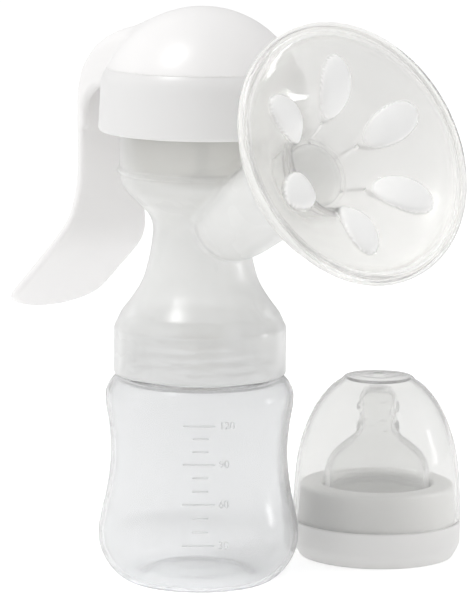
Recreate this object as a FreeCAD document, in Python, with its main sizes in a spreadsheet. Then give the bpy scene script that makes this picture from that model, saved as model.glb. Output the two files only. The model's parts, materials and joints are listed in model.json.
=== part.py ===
import FreeCAD, Part
import math
import os
import Sketcher
from FreeCAD import Placement, Rotation, Vector

# Manual breast pump standing on its milk bottle, with the bottle's teat set beside it.
# Frame: origin at the middle of the bottle's base, on the table. +Z is up, +X points to the
# breast shield, and the pump is symmetric about the XZ plane. Millimetres and degrees.

SIZES = {
    # bottle
    "foot_radius": 21.5, "base_radius": 31.3, "base_height": 12.5, "hollow_depth": 3.0,
    "lower_curve_z": 26.0, "lower_curve_radius": 29.2, "upper_curve_z": 50.0,
    "upper_curve_radius": 28.3, "shoulder_z": 59.4, "shoulder_radius": 29.5,
    "bottle_top_z": 65.3, "bottle_top_radius": 26.5, "bottle_wall": 1.5, "foot_width": 1.5,
    "hollow_slope": 5.0, "base_arc": 13.0, "waist_arc": 44.0, "shoulder_arc": 40.0,
    "top_arc": 7.8,
    # screw joint between a bottle neck and whatever closes it
    "neck_radius": 21.8, "neck_bore": 20.0, "neck_height": 14.2, "neck_crest": 23.7,
    "collar_root": 24.4, "collar_crest": 22.4, "thread_lead": 8.0, "thread_width": 1.6,
    "thread_rise": 5.0, "thread_bite": 0.3, "thread_start": 3.6, "past": 1.0,
    # pump body
    "skirt_bottom_z": 65.8, "skirt_radius": 26.9, "skirt_top_z": 80.8, "body_wall": 1.8,
    "waist_foot_z": 84.6, "waist_foot_radius": 24.6, "waist_mid_z": 96.8,
    "waist_mid_radius": 17.4, "waist_top_z": 111.3, "waist_top_radius": 15.1,
    "bowl_bottom_z": 115.4, "bowl_bottom_radius": 16.0, "bowl_top_z": 127.6,
    "cup_radius": 25.5, "cup_rim_z": 148.4, "bead_z": 128.4, "bead_width": 2.2,
    "bead_curve": 1.5, "skirt_arc": 4.0, "neck_foot_arc": 18.0, "neck_arc": 70.0,
    "bowl_foot_arc": 4.0, "bowl_arc": 14.0, "partition_z": 82.2, "partition_thickness": 1.8,
    "collar_top_z": 80.2, "collar_slope": 2.0, "collar_arc": 2.2, "neck_floor_radius": 19.9,
    "neck_floor_slope": 1.5, "bowl_foot_bore_arc": 6.0, "bowl_bore_arc": 12.0,
    "cup_thread_crest": 27.6, "cup_thread_rise": 3.6, "cap_thread_rise": 2.8,
    "cap_thread_start": 1.2,
    "spigot_radius": 5.7, "spigot_bore": 4.2, "spigot_bottom_z": 74.0,
    # funnel: a slanting tube that opens into the horn; distances run along its own axis
    "funnel_foot_z": 108.0, "funnel_tilt": 24.6, "knuckle": 19.6, "knuckle_radius": 13.0,
    "tube_radius": 12.6, "tube_wall": 1.8, "horn_foot": 55.0, "horn_mid": 62.2,
    "horn_mid_radius": 21.8, "horn_shoulder": 72.2, "horn_shoulder_radius": 34.4,
    "horn_rim": 82.4, "horn_rim_radius": 38.4, "horn_wall": 1.5, "horn_rim_arc": 16.0,
    "horn_arc": 120.0, "horn_foot_arc": 14.0, "horn_foot_bore": 55.6,
    "horn_mid_bore": 63.4, "horn_mid_bore_radius": 20.9, "horn_shoulder_bore": 73.0,
    "horn_shoulder_bore_radius": 33.15, "horn_rim_bore_arc": 14.5, "horn_bore_arc": 118.0,
    "horn_foot_bore_arc": 15.5,
    # silicone massage shield: a sleeve in the tube that flares into a dish over the horn
    "shield_gap": 0.3, "shield_rim": 84.2, "shield_radius": 40.4, "shield_lip": 81.2,
    "lip_bore": 38.8, "lip_arc": 1.3, "sleeve_start": 45.0, "sleeve_wall": 1.2,
    "throat": 57.0, "throat_arc": 24.0, "dish_foot": 77.7, "dish_foot_radius": 21.2,
    "dish_arc": 70.0, "dish_edge": 82.2, "dish_edge_radius": 34.4, "brim_radius": 37.2,
    "brim_arc": 5.0, "throat_back_arc": 22.2, "dish_back_foot": 76.3,
    "dish_back_foot_radius": 21.8, "dish_back": 80.8, "dish_back_radius": 34.9,
    "brim_back_radius": 36.6,
    # valve under the pump body
    "valve_top_z": 81.8, "valve_radius": 7.4, "valve_fit": 0.05, "valve_bill_z": 73.4,
    "valve_tip_z": 66.2, "valve_bill_bore": 4.6, "valve_tip_half": 0.9,
    "valve_step": 0.3, "valve_taper": 1.2, "bill_depth": 2.4, "slit_half": 0.2,
    "slit_edge": 0.6, "bill_clear": 2.0,
    # diaphragm and the stem that pulls it
    "flange_radius": 27.4, "flange_thickness": 1.6, "bell_radius": 21.6,
    "bell_floor_z": 125.6, "bell_floor_radius": 15.5, "bell_wall": 1.3,
    "bell_lower_radius": 20.4, "bell_lower_z": 130.8, "bell_arc": 5.6, "bell_bore_z": 131.2,
    "bell_bore_arc": 4.4, "bell_top_z": 148.1, "soft_gap": 0.1, "flange_gap": 0.05,
    "stem_radius": 2.1, "stem_foot_radius": 6.2, "stem_collar_radius": 4.0,
    "stem_collar_z": 136.5, "stem_head_radius": 4.2, "stem_head_z": 164.0,
    "stem_plate_radius": 7.5, "stem_plate": 1.2, "stem_boss": 1.6, "stem_flare_z": 130.6,
    "stem_flare_arc": 4.0, "stem_collar_slope": 1.0, "stem_collar_top_z": 150.5,
    "stem_collar_end": 2.0, "stem_head_start": 3.6, "stem_head_slope": 1.6,
    "stem_head_edge": 0.5, "stem_head_flat": 2.7, "stem_head_arc": 1.7,
    # cap
    "cap_radius": 32.1, "cap_bottom_z": 141.6, "cap_shoulder_z": 155.6,
    "cap_shoulder_radius": 31.5, "cap_top_z": 161.0, "cap_top_radius": 29.7,
    "cap_bore": 28.4, "cap_crest": 26.5, "cap_floor_z": 150.2, "cap_floor_thickness": 2.6,
    "cap_recess_radius": 27.9, "cap_guide_radius": 11.0, "cap_edge": 1.2,
    "cap_shoulder_arc": 9.0,
    # handle and its hinge
    "pivot_x": -23.0, "pivot_z": 158.0, "pin_radius": 1.7, "pin_fit": 0.05,
    "pin_length": 19.0, "ear_radius": 3.4, "ear_inner": 7.0, "ear_outer": 9.5,
    "hub_radius": 3.8, "hub_half_width": 6.5, "dome_radius": 32.3, "dome_centre_z": 148.0,
    "dome_rim_z": 161.4, "dome_wall": 2.5, "handle_half_width": 17.6,
    "ear_root": 0.5, "ear_front": 1.0, "ear_back": 1.4, "ear_back_top": 0.6, "ear_top": 6.0,
    "hub_top_z": 169.0, "hub_back": 2.0, "hub_back_low": 2.6, "hub_back_z": 161.0,
    "fork_z": 157.4, "fork_thickness": 2.0, "fork_start": -21.0, "fork_end": 4.5,
    "fork_slot_start": -5.0, "fork_slot_half": 2.5, "relief_x": -33.6, "relief_z": 165.9,
    # handle arm: outer face from the dome down to the tip, then the inner face back up
    "arm_root_x": -15.0, "arm_root_z": 175.0, "hump_x": -24.0, "hump_z": 172.4,
    "hump_back_x": -38.0, "hump_back_z": 167.0, "hump_arc": 90.0, "bend_x": -48.2,
    "bend_z": 157.0, "bend_arc": 18.0, "back_top_x": -49.9, "back_top_z": 150.0,
    "back_top_arc": 16.0, "back_foot_x": -49.2, "back_foot_z": 118.0, "paddle_x": -56.4,
    "paddle_z": 102.4, "paddle_arc": 20.5, "tip_x": -85.2, "tip_z": 78.2,
    "tip_inner_x": -83.4, "tip_inner_z": 76.1, "tip_arc": 1.5, "paddle_inner_x": -54.6,
    "paddle_inner_z": 100.3, "inner_foot_x": -46.4, "paddle_inner_arc": 23.3,
    "inner_top_x": -47.1, "inner_bend_x": -42.4, "inner_bend_z": 160.4,
    "inner_bend_arc": 16.0, "inner_hump_arc": 24.0, "arm_root_inner_x": -12.0,
    # handle seen along its arm
    "arm_half_width": 12.0, "arm_narrow_z": 114.0, "paddle_flare": 16.6,
    "paddle_flare_z": 96.0, "paddle_flare_arc": 60.0, "paddle_wide_z": 88.0,
    "paddle_side_arc": 30.0, "paddle_corner": 14.0, "paddle_corner_z": 78.4,
    "paddle_corner_arc": 13.0, "paddle_end_z": 75.4, "paddle_end_arc": 40.0,
    "clear_side": 40.0, "clear_top": 190.0, "clear_foot": 60.0, "clear_depth": 240.0,
    # teat set, standing beside the bottle
    "teat_set_x": 4.0, "teat_set_y": 69.2, "ring_radius": 27.2, "ring_flange_z": 11.8,
    "ring_upper_radius": 25.2, "ring_upper_bore": 23.2, "ring_top_z": 23.6,
    "ring_hole": 17.9, "ring_top_wall": 2.0, "ring_foot_inset": 2.6, "ring_foot_z": 4.0,
    "ring_foot_arc": 5.0, "ring_edge": 1.0, "ring_step": 1.2, "ring_thread_z": 4.0,
    "teat_wall": 1.7, "teat_flange_radius": 22.9, "teat_bulb_radius": 17.1,
    "teat_bulb_z": 27.0, "teat_neck_z": 39.0, "teat_neck_radius": 6.2, "teat_top_z": 54.9,
    "teat_nipple_radius": 5.8, "teat_gap": 0.3, "teat_flange": 1.8, "teat_cone_radius": 11.5,
    "teat_cone_z": 34.6, "teat_bulb_arc": 11.0, "teat_cone_arc": 9.0, "teat_neck_rise": 1.0,
    "teat_tip": 3.0, "teat_tip_arc": 7.2, "teat_tip_bore": 4.0, "teat_tip_bore_arc": 5.6,
    "teat_neck_bore_rise": 1.4, "teat_cone_bore_z": 33.4, "teat_bulb_bore_arc": 9.6,
    "milk_hole": 0.4, "teat_cap_wall": 1.2, "teat_cap_bottom_z": 12.1,
    "teat_cap_side_arc": 95.0, "teat_cap_bore_arc": 94.0, "teat_cap_dome_arc": 37.0,
    "teat_cap_dome_bore_arc": 36.0, "teat_cap_disc_arc": 40.0,
    "teat_cap_mid_z": 35.0, "teat_cap_mid_radius": 25.3, "teat_cap_disc_z": 56.9,
    "teat_cap_disc_radius": 12.2, "teat_cap_top_z": 59.2, "vent_radius": 1.25,
}

doc = FreeCAD.newDocument("BreastPump")
parts = []


def make_sheet():
    sheet = doc.addObject("Spreadsheet::Sheet", "Size")
    for row, (alias, value) in enumerate(SIZES.items(), start=1):
        sheet.set(f"A{row}", alias)
        sheet.set(f"B{row}", str(value))
        sheet.setAlias(f"B{row}", alias)
    doc.recompute()
    return sheet


sheet = make_sheet()


def value(formula):
    """The number that a formula over the sheet's cells gives."""
    return float(sheet.evalExpression(formula))


# ---------------------------------------------------------------- sketches and features

def new_body(label):
    body = doc.addObject("PartDesign::Body", label)
    body.Label = label
    parts.append(body)
    return body


def new_sketch(body, name, role="XZ_Plane"):
    plane = next(feature for feature in body.Origin.OriginFeatures if feature.Role == role)
    sketch = body.newObject("Sketcher::SketchObject", name)
    sketch.AttachmentSupport = [(plane, "")]
    sketch.MapMode = "FlatFace"
    return sketch


def bend(start, end, radius):
    """Arc from start to end: it turns left for a positive radius and right for a negative one."""
    chord = end - start
    left = Vector(-chord.y, chord.x, 0).normalize()
    rise = math.sqrt(radius ** 2 - (chord.Length / 2) ** 2)
    centre = (start + end) / 2 + left * math.copysign(rise, radius)
    first, last = (start, end) if radius > 0 else (end, start)
    angles = [math.atan2(tip.y - centre.y, tip.x - centre.x) for tip in (first, last)]
    circle = Part.Circle(centre, Vector(0, 0, 1), abs(radius))
    return Part.ArcOfCircle(circle, angles[0], angles[1])


def pin_down(sketch, edge, tip, across, up):
    """Tie one end of an edge to the sheet, on the sketch's own two axes."""
    for kind, axis, formula in (("DistanceX", -2, across), ("DistanceY", -1, up)):
        if abs(value(formula)) < 1e-9:
            sketch.addConstraint(Sketcher.Constraint("PointOnObject", edge, tip, axis))
            continue
        index = sketch.addConstraint(
            Sketcher.Constraint(kind, -1, 1, edge, tip, value(formula)))
        sketch.setExpression(f"Constraints[{index}]", formula)


def outline(sketch, corners):
    """Closed outline through (across, up) corners, given as formulas over the sheet.

    A third entry is the radius of the edge that ends at that corner: positive bulges out
    and negative in, when the outline is walked anticlockwise.
    """
    at = [Vector(value(corner[0]), value(corner[1]), 0) for corner in corners]
    tips = []
    for index, corner in enumerate(corners):
        start, end = at[index - 1], at[index]
        radius = value(corner[2]) if len(corner) == 3 else 0.0
        edge = bend(start, end, radius) if radius else Part.LineSegment(start, end)
        number = sketch.addGeometry(edge)
        tips.append((number, 2, 1) if radius < 0 else (number, 1, 2))
        if radius:
            bound = sketch.addConstraint(Sketcher.Constraint("Radius", number, abs(radius)))
            sketch.setExpression(f"Constraints[{bound}]", f"abs({corner[2]})")
    for index, (number, first, last) in enumerate(tips):
        following = tips[(index + 1) % len(tips)]
        sketch.addConstraint(
            Sketcher.Constraint("Coincident", number, last, following[0], following[1]))
        pin_down(sketch, number, last, corners[index][0], corners[index][1])


def turn(body, name, corners, kind="PartDesign::Revolution", axis="V_Axis", slant=False):
    """Turn a half outline round the body's own axis, or round the funnel's."""
    sketch = new_sketch(body, name + "Outline")
    if slant:
        sketch.AttachmentOffset = Placement(Vector(0, 1, 0), Rotation(Vector(0, 0, 1), 1))
        sketch.setExpression("AttachmentOffset.Base.y", "Size.funnel_foot_z")
        sketch.setExpression("AttachmentOffset.Rotation.Angle", "Size.funnel_tilt")
    outline(sketch, corners)
    doc.recompute()
    feature = body.newObject(kind, name)
    feature.Profile = sketch
    feature.ReferenceAxis = (sketch, [axis])
    feature.Angle = 360
    doc.recompute()
    return feature


def turn_funnel(body, name, corners, kind="PartDesign::Revolution"):
    return turn(body, name, corners, kind, axis="H_Axis", slant=True)


def push(body, name, corners, length, kind="PartDesign::Pad", role="XZ_Plane"):
    """Push an outline the same way to both sides of its plane, length in all."""
    sketch = new_sketch(body, name + "Outline", role)
    outline(sketch, corners)
    doc.recompute()
    feature = body.newObject(kind, name)
    feature.Profile = sketch
    feature.Midplane = True
    feature.setExpression("Length", length)
    doc.recompute()
    return feature


def drill(body, name, across, up, radius, length, role="XZ_Plane"):
    """Round hole through the body, to both sides of its sketch plane."""
    sketch = new_sketch(body, name + "Outline", role)
    centre = Vector(value(across), value(up), 0)
    sketch.addGeometry(Part.Circle(centre, Vector(0, 0, 1), value(radius)))
    pin_down(sketch, 0, 3, across, up)
    bound = sketch.addConstraint(Sketcher.Constraint("Radius", 0, value(radius)))
    sketch.setExpression(f"Constraints[{bound}]", radius)
    doc.recompute()
    pocket = body.newObject("PartDesign::Pocket", name)
    pocket.Profile = sketch
    pocket.Midplane = True
    pocket.setExpression("Length", length)
    doc.recompute()


def wind_thread(body, name, root, crest, start, rise="Size.thread_rise"):
    """Two ridges, half a turn apart, that climb one lead a turn from root to crest."""
    half = "Size.thread_width / 2"
    sketch = new_sketch(body, name + "Section")
    ridge = [(root, f"{start} - {half}"), (crest, f"{start} - {half} / 2"),
             (crest, f"{start} + {half} / 2"), (root, f"{start} + {half}")]
    outline(sketch, ridge if value(crest) > value(root) else ridge[::-1])
    doc.recompute()
    helix = body.newObject("PartDesign::AdditiveHelix", name)
    helix.Profile = sketch
    helix.ReferenceAxis = (sketch, ["V_Axis"])
    helix.Mode = 0
    helix.setExpression("Pitch", "Size.thread_lead")
    helix.setExpression("Height", rise)
    doc.recompute()
    pattern = body.newObject("PartDesign::PolarPattern", name + "Pair")
    pattern.Originals = [helix]
    pattern.Axis = (sketch, ["V_Axis"])
    pattern.Angle = 360
    pattern.Occurrences = 2
    body.Tip = pattern
    doc.recompute()


def stand_aside(body):
    """Move a piece of the teat set to its place beside the bottle."""
    body.setExpression("Placement.Base.x", "Size.teat_set_x")
    body.setExpression("Placement.Base.y", "Size.teat_set_y")


# ---------------------------------------------------------------- bottle

def make_bottle():
    body = new_body("bottle")
    wall = "Size.bottle_wall"
    neck_top = "Size.bottle_top_z + Size.neck_height"
    turn(body, "Shell", [
        ("0", "Size.hollow_depth"),
        ("Size.foot_radius - Size.hollow_slope", "Size.hollow_depth"),
        ("Size.foot_radius - Size.foot_width", "0"),
        ("Size.foot_radius", "0"),
        ("Size.base_radius", "Size.base_height", "Size.base_arc"),
        ("Size.lower_curve_radius", "Size.lower_curve_z", "Size.waist_arc"),
        ("Size.upper_curve_radius", "Size.upper_curve_z", "-Size.waist_arc"),
        ("Size.shoulder_radius", "Size.shoulder_z", "Size.shoulder_arc"),
        ("Size.bottle_top_radius", "Size.bottle_top_z", "Size.top_arc"),
        ("Size.neck_radius", "Size.bottle_top_z"),
        ("Size.neck_radius", neck_top),
        ("Size.neck_bore", neck_top),
        ("Size.neck_bore", f"Size.bottle_top_z - {wall}"),
        (f"Size.bottle_top_radius - {wall}", f"Size.bottle_top_z - 1.5 * {wall}"),
        (f"Size.shoulder_radius - {wall}", f"Size.shoulder_z - {wall} / 2",
         "-Size.top_arc"),
        (f"Size.upper_curve_radius - {wall}", "Size.upper_curve_z", "-Size.shoulder_arc"),
        (f"Size.lower_curve_radius - {wall}", "Size.lower_curve_z", "Size.waist_arc"),
        (f"Size.base_radius - {wall}", "Size.base_height", "-Size.waist_arc"),
        ("Size.foot_radius", wall, f"{wall} - Size.base_arc"),
        ("Size.foot_radius - Size.foot_width", wall),
        ("Size.foot_radius - Size.hollow_slope", f"Size.hollow_depth + {wall}"),
        ("0", f"Size.hollow_depth + {wall}"),
    ])
    wind_thread(body, "NeckThread", "Size.neck_radius - Size.thread_bite",
                "Size.neck_crest", "Size.bottle_top_z + Size.thread_start")


# ---------------------------------------------------------------- pump body

def make_pump_body():
    body = new_body("pump_body")
    wall = "Size.body_wall"
    turn(body, "Outside", [
        ("0", "Size.skirt_bottom_z"),
        ("Size.skirt_radius", "Size.skirt_bottom_z"),
        ("Size.skirt_radius", "Size.skirt_top_z"),
        ("Size.waist_foot_radius", "Size.waist_foot_z", "Size.skirt_arc"),
        ("Size.waist_mid_radius", "Size.waist_mid_z", "-Size.neck_foot_arc"),
        ("Size.waist_top_radius", "Size.waist_top_z", "-Size.neck_arc"),
        ("Size.bowl_bottom_radius", "Size.bowl_bottom_z", "-Size.bowl_foot_arc"),
        ("Size.cup_radius", "Size.bowl_top_z", "Size.bowl_arc"),
        ("Size.cup_radius", "Size.bead_z"),
        ("Size.cup_radius", "Size.bead_z + Size.bead_width", "Size.bead_curve"),
        ("Size.cup_radius", "Size.cup_rim_z"),
        ("0", "Size.cup_rim_z"),
    ])
    turn_funnel(body, "FunnelOutside", [
        ("Size.knuckle - Size.knuckle_radius", "0", "Size.knuckle_radius"),
        ("Size.horn_rim", "0"),
        ("Size.horn_rim", "Size.horn_rim_radius"),
        ("Size.horn_shoulder", "Size.horn_shoulder_radius", "Size.horn_rim_arc"),
        ("Size.horn_mid", "Size.horn_mid_radius", "Size.horn_arc"),
        ("Size.horn_foot", "Size.tube_radius", "-Size.horn_foot_arc"),
        ("Size.knuckle", "Size.knuckle_radius"),
    ])
    turn(body, "CollarHollow", [
        ("0", "Size.skirt_bottom_z - Size.past"),
        ("Size.collar_root", "Size.skirt_bottom_z - Size.past"),
        ("Size.collar_root", "Size.collar_top_z"),
        ("Size.collar_root - Size.collar_slope", "Size.partition_z", "Size.collar_arc"),
        ("Size.spigot_radius", "Size.partition_z"),
        ("Size.spigot_radius", "Size.spigot_bottom_z"),
        ("0", "Size.spigot_bottom_z"),
    ], kind="PartDesign::Groove")
    neck_floor = "Size.partition_z + Size.partition_thickness"
    turn(body, "BodyHollow", [
        ("0", "Size.spigot_bottom_z - Size.past"),
        ("Size.spigot_bore", "Size.spigot_bottom_z - Size.past"),
        ("Size.spigot_bore", neck_floor),
        ("Size.neck_floor_radius", f"{neck_floor} + Size.neck_floor_slope"),
        (f"Size.waist_mid_radius - {wall}", "Size.waist_mid_z", "-Size.neck_foot_arc"),
        (f"Size.waist_top_radius - {wall}", "Size.waist_top_z"),
        (f"Size.bowl_bottom_radius - {wall}", f"Size.bowl_bottom_z + {wall}",
         "-Size.bowl_foot_bore_arc"),
        (f"Size.cup_radius - {wall}", f"Size.bowl_top_z + {wall} / 2",
         "Size.bowl_bore_arc"),
        (f"Size.cup_radius - {wall}", "Size.cup_rim_z + Size.past"),
        ("0", "Size.cup_rim_z + Size.past"),
    ], kind="PartDesign::Groove")
    turn_funnel(body, "FunnelHollow", [
        (f"Size.knuckle - Size.knuckle_radius + {wall}", "0", f"Size.knuckle_radius - {wall}"),
        ("Size.horn_rim + Size.past", "0"),
        ("Size.horn_rim + Size.past", "Size.horn_rim_radius - Size.horn_wall"),
        ("Size.horn_rim", "Size.horn_rim_radius - Size.horn_wall"),
        ("Size.horn_shoulder_bore", "Size.horn_shoulder_bore_radius",
         "Size.horn_rim_bore_arc"),
        ("Size.horn_mid_bore", "Size.horn_mid_bore_radius", "Size.horn_bore_arc"),
        ("Size.horn_foot_bore", "Size.tube_radius - Size.tube_wall",
         "-Size.horn_foot_bore_arc"),
        ("Size.knuckle", f"Size.knuckle_radius - {wall}"),
    ], kind="PartDesign::Groove")
    wind_thread(body, "CollarThread", "Size.collar_root + Size.thread_bite",
                "Size.collar_crest",
                "Size.bottle_top_z + Size.thread_start + Size.thread_lead / 4")
    wind_thread(body, "CupThread", "Size.cup_radius - Size.thread_bite",
                "Size.cup_thread_crest", "Size.cap_bottom_z + Size.cap_thread_start",
                rise="Size.cup_thread_rise")


# ---------------------------------------------------------------- soft parts of the pump

def make_massage_shield():
    body = new_body("massage_shield")
    sleeve = "Size.tube_radius - Size.tube_wall - Size.shield_gap"
    turn_funnel(body, "Dish", [
        ("Size.sleeve_start", f"{sleeve} - Size.sleeve_wall"),
        ("Size.throat", f"{sleeve} - Size.sleeve_wall"),
        ("Size.dish_foot", "Size.dish_foot_radius", "Size.throat_arc"),
        ("Size.dish_edge", "Size.dish_edge_radius", "Size.dish_arc"),
        ("Size.shield_rim", "Size.brim_radius", "-Size.brim_arc"),
        ("Size.shield_rim", "Size.shield_radius - Size.lip_arc"),
        ("Size.shield_rim - Size.lip_arc", "Size.shield_radius", "Size.lip_arc"),
        ("Size.shield_lip", "Size.shield_radius"),
        ("Size.shield_lip", "Size.lip_bore"),
        ("Size.horn_rim + Size.shield_gap", "Size.lip_bore"),
        ("Size.horn_rim + Size.shield_gap", "Size.brim_back_radius"),
        ("Size.dish_back", "Size.dish_back_radius"),
        ("Size.dish_back_foot", "Size.dish_back_foot_radius", "-Size.dish_arc"),
        ("Size.throat", sleeve, "-Size.throat_back_arc"),
        ("Size.sleeve_start", sleeve),
    ])


def make_duckbill_valve():
    body = new_body("duckbill_valve")
    bore = "Size.spigot_radius + Size.valve_fit"
    turn(body, "Collar", [
        ("0", "Size.valve_tip_z"),
        ("Size.valve_radius - Size.valve_taper", "Size.valve_tip_z"),
        ("Size.valve_radius", "Size.valve_bill_z"),
        ("Size.valve_radius", "Size.valve_top_z"),
        (bore, "Size.valve_top_z"),
        (bore, "Size.spigot_bottom_z - Size.valve_step"),
        ("Size.valve_bill_bore", "Size.spigot_bottom_z - Size.valve_step"),
        ("Size.valve_bill_bore", "Size.valve_bill_z - Size.bill_depth"),
        ("0", "Size.valve_bill_z - Size.bill_depth"),
    ])
    for side in (1, -1):
        push(body, "BillFlat" + ("A" if side > 0 else "B"), [
            (f"{side} * Size.valve_tip_half", "Size.valve_tip_z - Size.past"),
            (f"{side} * (Size.valve_radius + Size.bill_clear)",
             "Size.valve_tip_z - Size.past"),
            (f"{side} * (Size.valve_radius + Size.bill_clear)", "Size.valve_bill_z"),
            (f"{side} * Size.valve_radius", "Size.valve_bill_z"),
            (f"{side} * Size.valve_tip_half", "Size.valve_tip_z"),
        ][::side], "4 * Size.valve_radius", kind="PartDesign::Pocket", role="YZ_Plane")
    push(body, "Slit", [
        ("-Size.slit_half", "Size.valve_tip_z - Size.past"),
        ("Size.slit_half", "Size.valve_tip_z - Size.past"),
        ("Size.slit_half", "Size.valve_bill_z"),
        ("-Size.slit_half", "Size.valve_bill_z"),
    ], "2 * (Size.valve_bill_bore - Size.slit_edge)", kind="PartDesign::Pocket", role="YZ_Plane")


def make_diaphragm():
    body = new_body("diaphragm")
    wall = "Size.bell_wall"
    flange_top = "Size.cup_rim_z + Size.flange_thickness"
    turn(body, "Bell", [
        ("Size.stem_foot_radius + Size.soft_gap", "Size.bell_floor_z"),
        ("Size.bell_floor_radius", "Size.bell_floor_z"),
        ("Size.bell_lower_radius", "Size.bell_lower_z", "Size.bell_arc"),
        ("Size.bell_radius", "Size.bell_top_z"),
        ("Size.bell_radius", "Size.cup_rim_z + Size.flange_gap"),
        ("Size.flange_radius", "Size.cup_rim_z + Size.flange_gap"),
        ("Size.flange_radius", flange_top),
        (f"Size.bell_radius - {wall}", flange_top),
        (f"Size.bell_radius - {wall}", "Size.bell_top_z"),
        (f"Size.bell_lower_radius - {wall}", "Size.bell_bore_z"),
        ("Size.bell_floor_radius", f"Size.bell_floor_z + {wall}", "-Size.bell_bore_arc"),
        ("Size.stem_foot_radius + Size.soft_gap", f"Size.bell_floor_z + {wall}"),
    ])


def make_diaphragm_stem():
    body = new_body("diaphragm_stem")
    foot = "Size.bell_floor_z"
    head = "Size.stem_head_z"
    turn(body, "Rod", [
        ("0", f"{foot} - Size.stem_plate"),
        ("Size.stem_plate_radius", f"{foot} - Size.stem_plate"),
        ("Size.stem_plate_radius", f"{foot} - Size.soft_gap"),
        ("Size.stem_foot_radius", f"{foot} - Size.soft_gap"),
        ("Size.stem_foot_radius", f"{foot} + Size.stem_boss"),
        ("Size.stem_radius", "Size.stem_flare_z", "-Size.stem_flare_arc"),
        ("Size.stem_radius", "Size.stem_collar_z"),
        ("Size.stem_collar_radius", "Size.stem_collar_z + Size.stem_collar_slope"),
        ("Size.stem_collar_radius", "Size.stem_collar_top_z"),
        ("Size.stem_radius", "Size.stem_collar_top_z + Size.stem_collar_end"),
        ("Size.stem_radius", f"{head} - Size.stem_head_start"),
        ("Size.stem_head_radius", f"{head} - Size.stem_head_slope"),
        ("Size.stem_head_radius", f"{head} - Size.stem_head_edge"),
        ("Size.stem_head_flat", head, "Size.stem_head_arc"),
        ("0", head),
    ])


# ---------------------------------------------------------------- cap, handle and hinge

def make_cap_ring():
    body = new_body("cap_ring")
    floor_top = "Size.cap_floor_z + Size.cap_floor_thickness"
    turn(body, "Shell", [
        ("Size.cap_bore", "Size.cap_bottom_z"),
        ("Size.cap_radius - Size.cap_edge", "Size.cap_bottom_z"),
        ("Size.cap_radius", "Size.cap_bottom_z + Size.cap_edge", "Size.cap_edge"),
        ("Size.cap_shoulder_radius", "Size.cap_shoulder_z"),
        ("Size.cap_top_radius", "Size.cap_top_z", "Size.cap_shoulder_arc"),
        ("Size.cap_recess_radius", "Size.cap_top_z"),
        ("Size.cap_recess_radius", floor_top),
        ("Size.cap_guide_radius", floor_top),
        ("Size.cap_guide_radius", "Size.cap_floor_z"),
        ("Size.cap_bore", "Size.cap_floor_z"),
    ])
    wind_thread(body, "CapThread", "Size.cap_bore + Size.thread_bite", "Size.cap_crest",
                "Size.cap_bottom_z + Size.cap_thread_start + Size.thread_lead / 4",
                rise="Size.cap_thread_rise")
    ear = [
        ("Size.pivot_x - Size.ear_radius", f"{floor_top} - Size.ear_root"),
        ("Size.pivot_x + Size.ear_radius", f"{floor_top} - Size.ear_root"),
        ("Size.pivot_x + Size.ear_radius", "Size.pivot_z"),
        ("Size.pivot_x", "Size.pivot_z + Size.ear_radius", "Size.ear_radius"),
        ("Size.pivot_x - Size.ear_radius", "Size.pivot_z", "Size.ear_radius"),
    ]
    push(body, "Ears", ear, "2 * Size.ear_outer")
    push(body, "EarGap", [
        ("Size.pivot_x - Size.ear_radius - Size.ear_back", floor_top),
        ("Size.pivot_x + Size.ear_radius + Size.ear_front", floor_top),
        ("Size.pivot_x + Size.ear_radius + Size.ear_front", "Size.pivot_z + Size.ear_top"),
        ("Size.pivot_x - Size.ear_radius - Size.ear_back_top",
         "Size.pivot_z + Size.ear_top"),
    ], "2 * Size.ear_inner", kind="PartDesign::Pocket")
    drill(body, "PinHole", "Size.pivot_x", "Size.pivot_z", "Size.pin_radius",
          "2 * (Size.ear_outer + Size.past)")


def make_hinge_pin():
    pin = doc.addObject("Part::Cylinder", "hinge_pin")
    pin.Label = "hinge_pin"
    pin.setExpression("Radius", "Size.pin_radius")
    pin.setExpression("Height", "Size.pin_length")
    pin.Placement.Rotation = Rotation(Vector(1, 0, 0), 90)
    pin.setExpression("Placement.Base.x", "Size.pivot_x")
    pin.setExpression("Placement.Base.y", "Size.pin_length / 2")
    pin.setExpression("Placement.Base.z", "Size.pivot_z")
    doc.recompute()
    parts.append(pin)


def mirrored(corner, sign=1):
    """The same corner on the other side of the sketch's upright axis."""
    arc = (corner[2] if sign > 0 else f"-{corner[2]}",) if len(corner) == 3 else ()
    return (f"-{corner[0]}", corner[1]) + arc


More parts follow.
